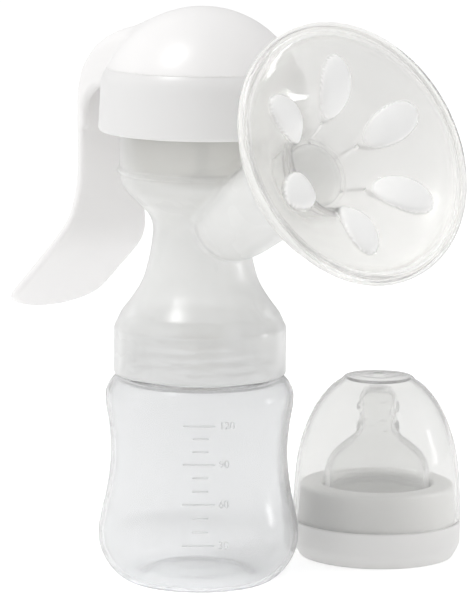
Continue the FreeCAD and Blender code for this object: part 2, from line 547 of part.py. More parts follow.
def make_handle():
    body = new_body("handle")
    push(body, "Arm", [
        ("Size.arm_root_x", "Size.arm_root_z"),
        ("Size.hump_x", "Size.hump_z"),
        ("Size.hump_back_x", "Size.hump_back_z", "Size.hump_arc"),
        ("Size.bend_x", "Size.bend_z", "Size.bend_arc"),
        ("Size.back_top_x", "Size.back_top_z", "Size.back_top_arc"),
        ("Size.back_foot_x", "Size.back_foot_z"),
        ("Size.paddle_x", "Size.paddle_z", "-Size.paddle_arc"),
        ("Size.tip_x", "Size.tip_z"),
        ("Size.tip_inner_x", "Size.tip_inner_z", "Size.tip_arc"),
        ("Size.paddle_inner_x", "Size.paddle_inner_z"),
        ("Size.inner_foot_x", "Size.back_foot_z", "Size.paddle_inner_arc"),
        ("Size.inner_top_x", "Size.back_top_z"),
        ("Size.inner_bend_x", "Size.inner_bend_z", "-Size.inner_bend_arc"),
        ("Size.relief_x", "Size.relief_z", "-Size.inner_hump_arc"),
        ("Size.pivot_x - Size.ear_root", "Size.dome_rim_z"),
        ("Size.arm_root_inner_x", "Size.dome_rim_z"),
    ], "2 * Size.handle_half_width")
    front = [
        ("Size.arm_half_width", "Size.arm_narrow_z"),
        ("Size.paddle_flare", "Size.paddle_flare_z", "Size.paddle_flare_arc"),
        ("Size.handle_half_width", "Size.paddle_wide_z", "Size.paddle_side_arc"),
        ("Size.paddle_corner", "Size.paddle_corner_z", "Size.paddle_corner_arc"),
    ]
    sides = [("-Size.arm_half_width", "Size.clear_top"), mirrored(front[0])]
    sides += [mirrored(front[1], -1), mirrored(front[2]), mirrored(front[3])]
    sides += [("0", "Size.paddle_end_z", "Size.paddle_end_arc")]
    sides += [front[3][:2] + ("Size.paddle_end_arc",), front[2][:2] + (front[3][2],)]
    sides += [front[1][:2] + (front[2][2],), front[0][:2] + (f"-{front[1][2]}",)]
    sides += [("Size.arm_half_width", "Size.clear_top"),
              ("Size.clear_side", "Size.clear_top"), ("Size.clear_side", "Size.clear_foot"),
              ("-Size.clear_side", "Size.clear_foot"), ("-Size.clear_side", "Size.clear_top")]
    push(body, "ArmSides", sides, "Size.clear_depth", kind="PartDesign::Pocket",
         role="YZ_Plane")
    turn(body, "Dome", [
        ("0", "Size.dome_rim_z"),
        ("sqrt(pow(Size.dome_radius; 2) - pow(Size.dome_rim_z - Size.dome_centre_z; 2))",
         "Size.dome_rim_z"),
        ("0", "Size.dome_centre_z + Size.dome_radius", "Size.dome_radius"),
    ])
    inside = "Size.dome_radius - Size.dome_wall"
    turn(body, "DomeHollow", [
        ("0", "Size.dome_rim_z - Size.past"),
        (f"sqrt(pow({inside}; 2) - pow(Size.dome_rim_z - Size.past - Size.dome_centre_z; 2))",
         "Size.dome_rim_z - Size.past"),
        ("0", f"Size.dome_centre_z + {inside}", inside),
    ], kind="PartDesign::Groove")
    push(body, "TiltRelief", [
        ("Size.pivot_x", "Size.dome_rim_z - Size.past"),
        ("Size.pivot_x", "Size.dome_rim_z"),
        ("Size.relief_x", "Size.relief_z"),
        ("Size.relief_x", "Size.dome_rim_z - Size.past"),
    ][::-1], "2 * Size.clear_side", kind="PartDesign::Pocket")
    push(body, "Hub", [
        ("Size.pivot_x - Size.hub_radius", "Size.pivot_z"),
        ("Size.pivot_x", "Size.pivot_z - Size.hub_radius", "Size.hub_radius"),
        ("Size.pivot_x + Size.hub_radius", "Size.pivot_z", "Size.hub_radius"),
        ("Size.pivot_x + Size.hub_radius", "Size.hub_top_z"),
        ("Size.pivot_x - Size.hub_back", "Size.hub_top_z"),
        ("Size.pivot_x - Size.hub_back_low", "Size.hub_back_z"),
    ], "2 * Size.hub_half_width")
    push(body, "Fork", [
        ("Size.fork_start", "Size.fork_z"),
        ("Size.fork_end", "Size.fork_z"),
        ("Size.fork_end", "Size.fork_z + Size.fork_thickness"),
        ("Size.fork_start", "Size.fork_z + Size.fork_thickness"),
    ], "2 * Size.hub_half_width")
    push(body, "ForkSlot", [
        ("Size.fork_slot_start", "-Size.fork_slot_half"),
        ("Size.fork_end + Size.past", "-Size.fork_slot_half"),
        ("Size.fork_end + Size.past", "Size.fork_slot_half"),
        ("Size.fork_slot_start", "Size.fork_slot_half"),
    ], "2 * (Size.fork_z + Size.fork_thickness + Size.soft_gap)",
        kind="PartDesign::Pocket", role="XY_Plane")
    drill(body, "PinHole", "Size.pivot_x", "Size.pivot_z", "Size.pin_radius + Size.pin_fit",
          "2 * (Size.hub_half_width + Size.past)")


# ---------------------------------------------------------------- teat set

def make_teat_ring():
    body = new_body("teat_ring")
    turn(body, "Shell", [
        ("Size.collar_root", "0"),
        ("Size.ring_radius - Size.ring_foot_inset", "0"),
        ("Size.ring_radius", "Size.ring_foot_z", "Size.ring_foot_arc"),
        ("Size.ring_radius", "Size.ring_flange_z"),
        ("Size.ring_upper_radius", "Size.ring_flange_z"),
        ("Size.ring_upper_radius", "Size.ring_top_z - Size.ring_edge"),
        ("Size.ring_upper_radius - Size.ring_edge", "Size.ring_top_z", "Size.ring_edge"),
        ("Size.ring_hole", "Size.ring_top_z"),
        ("Size.ring_hole", "Size.ring_top_z - Size.ring_top_wall"),
        ("Size.ring_upper_bore", "Size.ring_top_z - Size.ring_top_wall"),
        ("Size.ring_upper_bore", "Size.ring_flange_z"),
        ("Size.collar_root", "Size.ring_flange_z - Size.ring_step"),
    ])
    wind_thread(body, "RingThread", "Size.collar_root + Size.thread_bite",
                "Size.collar_crest", "Size.ring_thread_z")
    stand_aside(body)


def make_teat():
    body = new_body("teat")
    under = "Size.ring_top_z - Size.ring_top_wall - Size.teat_gap"
    wall = "Size.teat_wall"
    turn(body, "Skin", [
        (f"Size.teat_bulb_radius - {wall}", f"{under} - Size.teat_flange"),
        ("Size.teat_flange_radius", f"{under} - Size.teat_flange"),
        ("Size.teat_flange_radius", under),
        ("Size.teat_bulb_radius", under),
        ("Size.teat_bulb_radius", "Size.teat_bulb_z"),
        ("Size.teat_cone_radius", "Size.teat_cone_z", "Size.teat_bulb_arc"),
        ("Size.teat_neck_radius", "Size.teat_neck_z + Size.teat_neck_rise",
         "-Size.teat_cone_arc"),
        ("Size.teat_nipple_radius", "Size.teat_top_z - Size.teat_tip"),
        ("0", "Size.teat_top_z", "Size.teat_tip_arc"),
        ("0", f"Size.teat_top_z - {wall}"),
        (f"Size.teat_nipple_radius - {wall}", "Size.teat_top_z - Size.teat_tip_bore",
         "-Size.teat_tip_bore_arc"),
        (f"Size.teat_neck_radius - {wall}", "Size.teat_neck_z + Size.teat_neck_bore_rise"),
        (f"Size.teat_cone_radius - {wall}", "Size.teat_cone_bore_z",
         "Size.teat_bulb_bore_arc"),
        (f"Size.teat_bulb_radius - {wall}", "Size.teat_bulb_z", "-Size.teat_bulb_bore_arc"),
    ])
    drill(body, "MilkHole", "0", "0", "Size.milk_hole", "2 * (Size.teat_top_z + Size.past)",
          role="XY_Plane")
    stand_aside(body)


def make_teat_cap():
    body = new_body("teat_cap")
    wall = "Size.teat_cap_wall"
    turn(body, "Shell", [
        (f"Size.ring_radius - {wall}", "Size.teat_cap_bottom_z",
         "-Size.teat_cap_bore_arc"),
        ("Size.ring_radius", "Size.teat_cap_bottom_z"),
        ("Size.teat_cap_mid_radius", "Size.teat_cap_mid_z", "Size.teat_cap_side_arc"),
        ("Size.teat_cap_disc_radius", "Size.teat_cap_disc_z", "Size.teat_cap_dome_arc"),
        ("0", "Size.teat_cap_top_z", "Size.teat_cap_disc_arc"),
        ("0", f"Size.teat_cap_top_z - {wall}"),
        (f"Size.teat_cap_disc_radius - {wall} / 2", f"Size.teat_cap_disc_z - {wall}",
         "-Size.teat_cap_disc_arc"),
        (f"Size.teat_cap_mid_radius - {wall}", "Size.teat_cap_mid_z",
         "-Size.teat_cap_dome_bore_arc"),
    ])
    drill(body, "Vent", "0", "0", "Size.vent_radius",
          "2 * (Size.teat_cap_top_z + Size.past)",
          role="XY_Plane")
    stand_aside(body)


# ---------------------------------------------------------------- checks and export

def check_document():
    doc.recompute()
    for item in doc.Objects:
        failed = {"Invalid", "Error"}.intersection(item.State)
        if failed:
            raise RuntimeError(f"{item.Label} is {failed}")
    for part in parts:
        shape = part.Shape
        if shape.isNull() or not shape.isValid() or len(shape.Solids) != 1:
            raise RuntimeError(f"{part.Label} is not one valid solid")


def write_parts():
    os.makedirs("parts", exist_ok=True)
    for part in parts:
        part.Shape.exportStep(f"parts/{part.Label}.step")
        box = part.Shape.BoundBox
        print(f"{part.Label:16s} {part.Shape.Volume / 1000:8.2f} cm3  "
              f"x {box.XMin:7.1f} {box.XMax:7.1f}  y {box.YMin:7.1f} {box.YMax:7.1f}  "
              f"z {box.ZMin:7.1f} {box.ZMax:7.1f}")


for make in (make_bottle, make_pump_body, make_massage_shield, make_duckbill_valve,
             make_diaphragm, make_diaphragm_stem, make_cap_ring, make_hinge_pin, make_handle,
             make_teat_ring, make_teat, make_teat_cap):
    make()
check_document()
write_parts()
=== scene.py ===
import json
import math
import bmesh
import bpy
import numpy as np
import openvdb
from mathutils import Matrix, Vector


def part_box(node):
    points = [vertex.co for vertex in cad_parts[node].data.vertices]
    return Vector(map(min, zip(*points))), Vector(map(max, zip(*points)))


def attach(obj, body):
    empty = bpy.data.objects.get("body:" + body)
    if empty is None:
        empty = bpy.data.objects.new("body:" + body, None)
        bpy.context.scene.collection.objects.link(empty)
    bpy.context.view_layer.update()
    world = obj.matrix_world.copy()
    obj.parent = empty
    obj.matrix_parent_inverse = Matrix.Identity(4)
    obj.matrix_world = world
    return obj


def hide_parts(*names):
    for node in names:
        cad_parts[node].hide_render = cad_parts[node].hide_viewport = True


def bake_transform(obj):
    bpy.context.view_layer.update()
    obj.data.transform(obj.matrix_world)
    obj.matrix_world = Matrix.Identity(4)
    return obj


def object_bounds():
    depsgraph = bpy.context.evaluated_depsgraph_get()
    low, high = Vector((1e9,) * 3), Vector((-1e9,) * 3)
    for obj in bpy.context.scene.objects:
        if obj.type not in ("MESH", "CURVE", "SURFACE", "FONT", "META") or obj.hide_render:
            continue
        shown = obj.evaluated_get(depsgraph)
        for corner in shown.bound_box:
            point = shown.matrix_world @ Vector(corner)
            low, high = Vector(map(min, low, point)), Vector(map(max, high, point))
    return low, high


# Manual breast pump on its milk bottle, with the teat set beside it. Profiles are in
# millimetres, as (radius, height) points, and heights start at the named CAD node's foot.

MM = 0.001
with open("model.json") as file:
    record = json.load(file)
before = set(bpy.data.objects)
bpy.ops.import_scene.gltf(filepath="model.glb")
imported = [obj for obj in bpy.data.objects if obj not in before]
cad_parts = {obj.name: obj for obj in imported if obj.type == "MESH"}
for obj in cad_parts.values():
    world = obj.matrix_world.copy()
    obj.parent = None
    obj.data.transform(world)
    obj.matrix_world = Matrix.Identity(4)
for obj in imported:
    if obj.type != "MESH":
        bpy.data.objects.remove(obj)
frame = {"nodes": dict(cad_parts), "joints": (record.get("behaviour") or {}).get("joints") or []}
cad_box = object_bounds()


# ---------------------------------------------------------------- places, from the frame

def foot(node):
    """The middle of a node's lowest face, in millimetres."""
    low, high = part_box(node)
    return Vector(((low.x + high.x) / 2, (low.y + high.y) / 2, low.z)) / MM


def joint(name):
    return next(j for j in frame["joints"] if j["name"] == name)


FUNNEL = Vector(joint("shield_pull")["axis"])
PIVOT = Vector(joint("handle_squeeze")["pos_m"]) / MM
BODY_Z = foot("pump_body").z
CAP_Z = foot("cap_ring").z
CAP_TOP = CAP_Z + 19.4
DOME_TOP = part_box("handle")[1].z / MM


# ---------------------------------------------------------------- outlines

def curve(points, step=0.6):
    """Smooth line through the points, as a centripetal Catmull-Rom spline."""
    points = [np.array(p, float) for p in points]
    points = [2 * points[0] - points[1]] + points + [2 * points[-1] - points[-2]]
    line = []
    for p0, p1, p2, p3 in zip(points, points[1:], points[2:], points[3:]):
        gaps = [max(np.linalg.norm(b - a), 1e-6) ** 0.5
                for a, b in ((p0, p1), (p1, p2), (p2, p3))]
        t0, t1, t2, t3 = np.cumsum([0, *gaps])
        count = max(2, round(np.linalg.norm(p2 - p1) / step))
        for t in np.linspace(t1, t2, count, endpoint=False):
            a1 = (t1 - t) / (t1 - t0) * p0 + (t - t0) / (t1 - t0) * p1
            a2 = (t2 - t) / (t2 - t1) * p1 + (t - t1) / (t2 - t1) * p2
            a3 = (t3 - t) / (t3 - t2) * p2 + (t - t2) / (t3 - t2) * p3
            b1 = (t2 - t) / (t2 - t0) * a1 + (t - t0) / (t2 - t0) * a2
            b2 = (t3 - t) / (t3 - t1) * a2 + (t - t1) / (t3 - t1) * a3
            line.append((t2 - t) / (t2 - t1) * b1 + (t - t1) / (t2 - t1) * b2)
    return np.array(line + [points[-2]])


def rounded(corners, closed=False, step=0.6):
    """Straight runs with their corners rounded: a third entry is the corner's radius."""
    line = []
    last = len(corners) - 1
    for i, corner in enumerate(corners):
        at = np.array(corner[:2], float)
        radius = corner[2] if len(corner) == 3 else 0
        if not radius or (not closed and i in (0, last)):
            line.append(at)
            continue
        before = np.array(corners[i - 1][:2], float) - at
        after = np.array(corners[(i + 1) % len(corners)][:2], float) - at
        u = before / np.linalg.norm(before)
        v = after / np.linalg.norm(after)
        half = math.acos(max(-1, min(1, float(u @ v)))) / 2
        reach = radius / math.tan(half)
        centre = at + (u + v) / np.linalg.norm(u + v) * radius / math.sin(half)
        a = at + u * reach - centre
        b = at + v * reach - centre
        count = max(3, round(radius * (math.pi - 2 * half) / step) + 2)
        turn = math.atan2(a[0] * b[1] - a[1] * b[0], float(a @ b))
        for k in range(count + 1):
            c, s = math.cos(turn * k / count), math.sin(turn * k / count)
            line.append(centre + np.array((a[0] * c - a[1] * s, a[0] * s + a[1] * c)))
    return fill(np.array(line), step, closed)


def fill(line, step, closed=False):
    """The same line, with no gap between points longer than step."""
    ends = np.roll(line, -1, axis=0) if closed else line[1:]
    filled = []
    for start, end in zip(line, ends):
        count = max(1, math.ceil(np.linalg.norm(end - start) / step))
        filled += [start + (end - start) * k / count for k in range(count)]
    return np.array(filled if closed else filled + [line[-1]])


def wall(line, thickness):
    """Closed outline of a wall that follows the line, with round edges."""
    way = np.gradient(line, axis=0)
    way /= np.linalg.norm(way, axis=1)[:, None]
    side = np.stack([-way[:, 1], way[:, 0]], 1) * thickness / 2
    turns = np.linspace(0, math.pi, 11)[1:-1]
    tip = [line[-1] + side[-1] * math.cos(t) + way[-1] * math.sin(t)
           * np.linalg.norm(side[-1]) for t in turns]
    heel = [line[0] - side[0] * math.cos(t) - way[0] * math.sin(t)
            * np.linalg.norm(side[0]) for t in turns]
    return np.concatenate([line + side, tip, (line - side)[::-1], heel])


# ---------------------------------------------------------------- turned pieces

def place(mesh_points, origin, axis=None):
    """Points in millimetres round +Z, moved to origin with +Z turned to axis, in metres."""
    turned = mesh_points
    if axis is not None:
        across = Vector((0, 1, 0)).cross(axis).normalized()
        basis = np.array([across, Vector((0, 1, 0)), axis]).T
        turned = mesh_points @ basis.T
    return (turned + np.array(origin)) * MM


def make_object(name, points, faces, material, values=None):
    """Smooth mesh in metres. values is a vertex attribute's name and its numbers."""
    mesh = bpy.data.meshes.new(name)
    mesh.from_pydata(points, [], faces)
    if values:
        attribute = mesh.attributes.new(values[0], "FLOAT", "POINT")
        attribute.data.foreach_set("value", values[1].astype(np.float32))
    piece = bpy.data.objects.new(name, mesh)
    bpy.context.scene.collection.objects.link(piece)
    edit = bmesh.new()
    edit.from_mesh(mesh)
    bmesh.ops.remove_doubles(edit, verts=edit.verts, dist=2e-6)
    bmesh.ops.recalc_face_normals(edit, faces=edit.faces)
    edit.to_mesh(mesh)
    edit.free()
    mesh.shade_smooth()
    mesh.set_sharp_from_angle(angle=math.radians(50))
    mesh.materials.append(material)
    return piece


def lathe(name, outline, origin, material, closed=True, segments=192, relief=None,
          axis=None, mask=None):
    """Turn an outline round an axis.

    relief(r, z, angle, out_r, out_z) lifts the surface along its outward normal. mask is a
    vertex attribute's name and a function that gives it, with the same arguments.
    """
    outline = np.array(outline)
    angles = np.linspace(0, 2 * math.pi, segments, endpoint=False)
    way = np.gradient(outline, axis=0)
    if closed:
        way = np.roll(outline, -1, axis=0) - np.roll(outline, 1, axis=0)
    way /= np.maximum(np.linalg.norm(way, axis=1)[:, None], 1e-9)
    area = np.sum(outline[:, 0] * np.roll(outline[:, 1], -1)
                  - np.roll(outline[:, 0], -1) * outline[:, 1])
    out = np.stack([way[:, 1], -way[:, 0]], 1) * (1 if area > 0 else -1)
    r = np.repeat(outline[:, :1], segments, axis=1)
    z = np.repeat(outline[:, 1:], segments, axis=1)
    angle = np.repeat(angles[None, :], len(outline), axis=0)
    if relief:
        lift = relief(r, z, angle, out[:, :1], out[:, 1:])
        r = r + lift * out[:, :1]
        z = z + lift * out[:, 1:]
    points = np.stack([r * np.cos(angle), r * np.sin(angle), z], -1).reshape(-1, 3)
    rows = len(outline) if closed else len(outline) - 1
    i, j = np.meshgrid(np.arange(rows), np.arange(segments), indexing="ij")
    up = (i + 1) % len(outline)
    right = (j + 1) % segments
    faces = np.stack([i * segments + j, i * segments + right,
                      up * segments + right, up * segments + j], -1).reshape(-1, 4)
    values = mask and (mask[0], mask[1](r, z, angle, out[:, :1], out[:, 1:]).ravel())
    return make_object(name, place(points, origin, axis), faces.tolist(), material, values)


def ridge(z, angle, start, end, lead, starts, width, height):
    """Height of a screw thread's ridges at (z, angle), fading out at both ends."""
    pitch = lead / starts
    off = (z - start - lead * angle / (2 * math.pi) + pitch / 2) % pitch - pitch / 2
    shape = np.clip(1.6 * (1 - (2 * off / width) ** 2), 0, 1)
    fade = np.clip(np.minimum(z - start, end - z) / 1.2 + 0.5, 0, 1)
    return height * shape * fade


def bump(distance, soft):
    """1 inside a shape and 0 outside it, easing over soft at its edge (distance 0)."""
    t = np.clip(0.5 - distance / soft, 0, 1)
    return t * t * (3 - 2 * t)


# ---------------------------------------------------------------- blended solids

def section(outline, turned=False, step=0.3):
    """Signed distance to a closed outline, looked up in a table.

    A turned outline's edges on its axis, where the first coordinate is 0, don't count.
    """
    outline = np.array(outline)
    low = outline.min(0) - 8
    high = outline.max(0) + 8
    if turned:
        low[0] = 0
    size = np.ceil((high - low) / step).astype(int) + 1
    uu, vv = np.meshgrid(low[0] + step * np.arange(size[0]),
                         low[1] + step * np.arange(size[1]), indexing="ij")
    spot = np.stack([uu, vv], -1)
    nearest = np.full(uu.shape, 1e9)
    inside = np.zeros(uu.shape, bool)
    for a, b in zip(outline, np.roll(outline, -1, axis=0)):
        run = b - a
        along = np.clip(((spot - a) @ run) / max(run @ run, 1e-12), 0, 1)
        if not turned or max(a[0], b[0]) > 1e-6:
            gap = np.linalg.norm(spot - a - along[..., None] * run, axis=-1)
            nearest = np.minimum(nearest, gap)
        if a[1] != b[1]:
            crosses = (a[1] > vv) != (b[1] > vv)
            inside ^= crosses & (uu < a[0] + (vv - a[1]) * run[0] / run[1])
    table = np.where(inside, -nearest, nearest)

    def look(u, v):
        i = np.clip((u - low[0]) / step, 0, size[0] - 1.001)
        j = np.clip((v - low[1]) / step, 0, size[1] - 1.001)
        i0, j0 = i.astype(int), j.astype(int)
        fi, fj = i - i0, j - j0
        return ((table[i0, j0] * (1 - fi) + table[i0 + 1, j0] * fi) * (1 - fj)
                + (table[i0, j0 + 1] * (1 - fi) + table[i0 + 1, j0 + 1] * fi) * fj)

    return look


def turned_field(outline, origin=(0, 0, 0), axis=None):
    """Signed distance to a solid turned round an axis."""
    look = section(outline, turned=True)
    basis = np.eye(3)
    if axis is not None:
        across = Vector((0, 1, 0)).cross(axis).normalized()
        basis = np.array([across, Vector((0, 1, 0)), axis])

    def field(x, y, z):
        x, y, z = x - origin[0], y - origin[1], z - origin[2]
        u, v, w = (b[0] * x + b[1] * y + b[2] * z for b in basis)
        return look(np.sqrt(u * u + v * v), w)

    return field


def slab(profile, across, edge):
    """Signed distance to a section pushed to |across| = 0, with round edges."""
    p, q = profile + edge, across + edge
    return np.hypot(np.maximum(p, 0), np.maximum(q, 0)) + np.minimum(np.maximum(p, q), 0) - edge


def join(a, b, soft):
    """Smooth union of two fields, filleted over about soft millimetres."""
    h = np.clip(0.5 + 0.5 * (b - a) / soft, 0, 1)
    return b * (1 - h) + a * h - soft * h * (1 - h)


def carve(a, b, soft):
    """Smooth cut of field b out of field a."""
    return -join(-a, b, soft)


def block(x, y, z, low, high, edge):
    """Signed distance to a box with rounded edges."""
    low, high = np.array(low, float), np.array(high, float)
    middle, half = (low + high) / 2, (high - low) / 2 - edge
    q = [np.abs(p - m) - h for p, m, h in zip((x, y, z), middle, half)]
    outside = np.sqrt(sum(np.maximum(p, 0) ** 2 for p in q))
    return outside + np.minimum(np.maximum(np.maximum(q[0], q[1]), q[2]), 0) - edge


def skin(name, field, low, high, cell, material, mask=None):
    """Mesh of the surface where the field is zero, inside a box in millimetres.

    mask is a vertex attribute's name and a function of the points that gives it.
    """
    axes = [np.arange(a, b + cell, cell, dtype=np.float32) for a, b in zip(low, high)]
    x, y, z = np.meshgrid(*axes, indexing="ij")
    values = field(x, y, z).astype(np.float32)
    grid = openvdb.FloatGrid(float(values.max()))
    grid.copyFromArray(values)
    points, quads = grid.convertToQuads(isovalue=0.0)
    points = points.astype(float) * cell + np.array(low)
    for _ in range(2):
        x, y, z = points.T
        here = field(x, y, z)
        tiny = 0.05
        slope = np.stack([field(x + tiny, y, z) - field(x - tiny, y, z),
                          field(x, y + tiny, z) - field(x, y - tiny, z),
                          field(x, y, z + tiny) - field(x, y, z - tiny)], -1) / (2 * tiny)
        size = np.maximum((slope ** 2).sum(1), 0.25)
        shift = -here[:, None] * slope / size[:, None]
        points += np.clip(shift, -cell / 2, cell / 2)
    values = mask and (mask[0], mask[1](points))
    return make_object(name, points * MM, quads[:, ::-1].tolist(), material, values)


# ---------------------------------------------------------------- materials

def add(nodes, kind, **values):
    """New shader node, with the named inputs set."""
    node = nodes.new("ShaderNode" + kind)
    for name, value in values.items():
        node.inputs[name.replace("_", " ")].default_value = value
    return node


def skin_nodes(made, colour, roughness, grain, grain_scale, vary):
    """Principled shader of a moulded skin: cloudy colour, uneven gloss and fine relief."""
    nodes, links = made.node_tree.nodes, made.node_tree.links
    shader = nodes["Principled BSDF"]
    where = nodes.new("ShaderNodeTexCoord")
    cloud = add(nodes, "TexNoise", Scale=35, Detail=3)
    links.new(where.outputs["Object"], cloud.inputs["Vector"])
    tone = nodes.new("ShaderNodeMix")
    tone.data_type = "RGBA"
    tone.inputs["A"].default_value = (*[c * (1 - vary) for c in colour], 1)
    tone.inputs["B"].default_value = (*[min(1, c * (1 + vary)) for c in colour], 1)
    links.new(cloud.outputs["Fac"], tone.inputs["Factor"])
    links.new(tone.outputs["Result"], shader.inputs["Base Color"])
    gloss = add(nodes, "MapRange", To_Min=roughness * 0.85, To_Max=roughness * 1.15)
    links.new(cloud.outputs["Fac"], gloss.inputs["Value"])
    links.new(gloss.outputs["Result"], shader.inputs["Roughness"])
    fine = add(nodes, "TexNoise", Scale=grain_scale, Detail=2)
    links.new(where.outputs["Object"], fine.inputs["Vector"])
    relief = add(nodes, "Bump", Strength=grain, Distance=0.0002)
    links.new(fine.outputs["Fac"], relief.inputs["Height"])
    links.new(relief.outputs["Normal"], shader.inputs["Normal"])
    return shader


def material(name, colour, roughness, subsurface=0.0):
    """Moulded opaque plastic that light enters a little."""
    made = bpy.data.materials.new(name)
    made.use_nodes = True
    shader = skin_nodes(made, colour, roughness, 0.03, 900, 0.015)
    shader.inputs["IOR"].default_value = 1.5
    shader.inputs["Subsurface Weight"].default_value = subsurface
    shader.inputs["Subsurface Radius"].default_value = (1, 1, 1)
    shader.inputs["Subsurface Scale"].default_value = 0.003
    return made


def slant_share(nodes, links, start, end, low, high):
    """low where a face is seen head on, rising to high where it is seen aslant."""
    slant = add(nodes, "LayerWeight", Blend=0.5)
    share = add(nodes, "MapRange", From_Min=start, From_Max=end, To_Min=low, To_Max=high)
    share.interpolation_type = "SMOOTHSTEP"
    links.new(slant.outputs["Facing"], share.inputs["Value"])
    return share.outputs["Result"]


def mixed(nodes, links, amount, first, second):
    """Two shaders mixed by a number or a socket: 0 is all first, and 1 all second."""
    mix = nodes.new("ShaderNodeMixShader")
    if isinstance(amount, float):
        mix.inputs["Fac"].default_value = amount
    else:
        links.new(amount, mix.inputs["Fac"])
    links.new(first, mix.inputs[1])
    links.new(second, mix.inputs[2])
    return mix.outputs["Shader"]


def mask_share(nodes, links, mask, weight, share):
    """share, plus weight where the vertex attribute that mask names is 1."""
    where = nodes.new("ShaderNodeAttribute")
    where.attribute_name = mask
    more = nodes.new("ShaderNodeMath")
    more.operation = "MULTIPLY_ADD"
    more.use_clamp = True
    more.inputs[1].default_value = weight
    links.new(where.outputs["Fac"], more.inputs[0])
    if isinstance(share, float):
        more.inputs[2].default_value = share
    else:
        links.new(share, more.inputs[2])
    return more.outputs["Value"]


def clear_shell(name, colour, tint, haze, edge, roughness, painted_rim_shade, mask=None,
                mask_haze=0.0, diffusing=0.6, vary=0.03):
    """Thin clear wall: haze is how milky one face is seen head on, and edge seen aslant.

    tint is what one face lets through. painted_rim_shade is the share of it left at the
    silhouette: painted shade, for the dark edges of a clear wall. diffusing is the
    share of the milky part that lets light through. mask names a vertex attribute that
    adds mask_haze to the haze where it is 1.
    """
    made = bpy.data.materials.new(name)
    made.use_nodes = True
    nodes, links = made.node_tree.nodes, made.node_tree.links
    shader = skin_nodes(made, colour, roughness, 0.02, 700, vary)
    # Painted shade: what passes through is darkened where the wall is seen edge on.
    edge_shade_share = slant_share(nodes, links, 0.72, 1.0, 0.0, 1.0)
    pass_colour = nodes.new("ShaderNodeMix")
    pass_colour.data_type = "RGBA"
    pass_colour.inputs["A"].default_value = (*tint, 1)
    pass_colour.inputs["B"].default_value = (*[painted_rim_shade * t for t in tint], 1)
    links.new(edge_shade_share, pass_colour.inputs["Factor"])
    through = nodes.new("ShaderNodeBsdfTransparent")
    links.new(pass_colour.outputs["Result"], through.inputs["Color"])
    amount = slant_share(nodes, links, 0.2, 0.9, haze, edge)
    if mask:
        amount = mask_share(nodes, links, mask, mask_haze, amount)
    spread = add(nodes, "BsdfTranslucent", Color=(*colour, 1))
    body = mixed(nodes, links, diffusing, shader.outputs["BSDF"], spread.outputs["BSDF"])
    milky = mixed(nodes, links, amount, through.outputs["BSDF"], body)
    shine = add(nodes, "BsdfAnisotropic", Roughness=roughness)
    mirror = slant_share(nodes, links, 0.45, 1.0, 0.04, 0.5)
    face = nodes.new("ShaderNodeNewGeometry")
    outer = nodes.new("ShaderNodeMath")
    outer.operation = "MULTIPLY_ADD"
    outer.inputs[1].default_value = -1
    outer.use_clamp = True
    links.new(face.outputs["Backfacing"], outer.inputs[0])
    links.new(mirror, outer.inputs[2])
    whole = mixed(nodes, links, outer.outputs["Value"], milky, shine.outputs["BSDF"])
    links.new(whole, nodes["Material Output"].inputs["Surface"])
    return made


def glassy(name, colour, roughness, ior, milky, mask=None, mask_milky=0.0,
           diffusing=0.5, painted_edge_shade=0.6, milky_colour=(0.93, 0.93, 0.925)):
    """Clear moulding that bends light. milky is the share that scatters it instead.

    mask names a vertex attribute that adds mask_milky to that share where it is 1.
    painted_edge_shade is the share of the colour that is left where the wall is seen edge
    on: painted shade along the silhouette, for the dark edges of a clear wall.
    Lamps light what is behind the wall, because shadow rays pass straight through.
    """
    made = bpy.data.materials.new(name)
    made.use_nodes = True
    nodes, links = made.node_tree.nodes, made.node_tree.links
    shader = skin_nodes(made, colour, roughness, 0.002, 300, 0.01)
    shader.inputs["IOR"].default_value = ior
    shader.inputs["Transmission Weight"].default_value = 1
    # Painted shade: the colour darkens where the wall is seen edge on.
    outline = nodes.new("ShaderNodeMix")
    outline.data_type = "RGBA"
    outline.inputs["B"].default_value = (*[painted_edge_shade * c for c in colour], 1)
    links.new(slant_share(nodes, links, 0.6, 1.0, 0.0, 1.0), outline.inputs["Factor"])
    links.new(shader.inputs["Base Color"].links[0].from_socket, outline.inputs["A"])
    links.new(outline.outputs["Result"], shader.inputs["Base Color"])
    scatter = add(nodes, "BsdfDiffuse", Color=(*milky_colour, 1))
    spread = add(nodes, "BsdfTranslucent", Color=(*milky_colour, 1))
    soft = mixed(nodes, links, diffusing, scatter.outputs["BSDF"], spread.outputs["BSDF"])
    amount = mask_share(nodes, links, mask, mask_milky, milky) if mask else milky
    whole = mixed(nodes, links, amount, shader.outputs["BSDF"], soft)
    lamp_light = add(nodes, "BsdfTransparent", Color=(*[0.95 * c for c in colour], 1))
    path = nodes.new("ShaderNodeLightPath")
    lit = mixed(nodes, links, path.outputs["Is Shadow Ray"], whole,
                lamp_light.outputs["BSDF"])
    links.new(lit, nodes["Material Output"].inputs["Surface"])
    return made


white_gloss = material("white_gloss_plastic", (0.86, 0.85, 0.845), 0.3, subsurface=0.15)
white_ring = material("white_ring_plastic", (0.8, 0.795, 0.785), 0.38, subsurface=0.2)
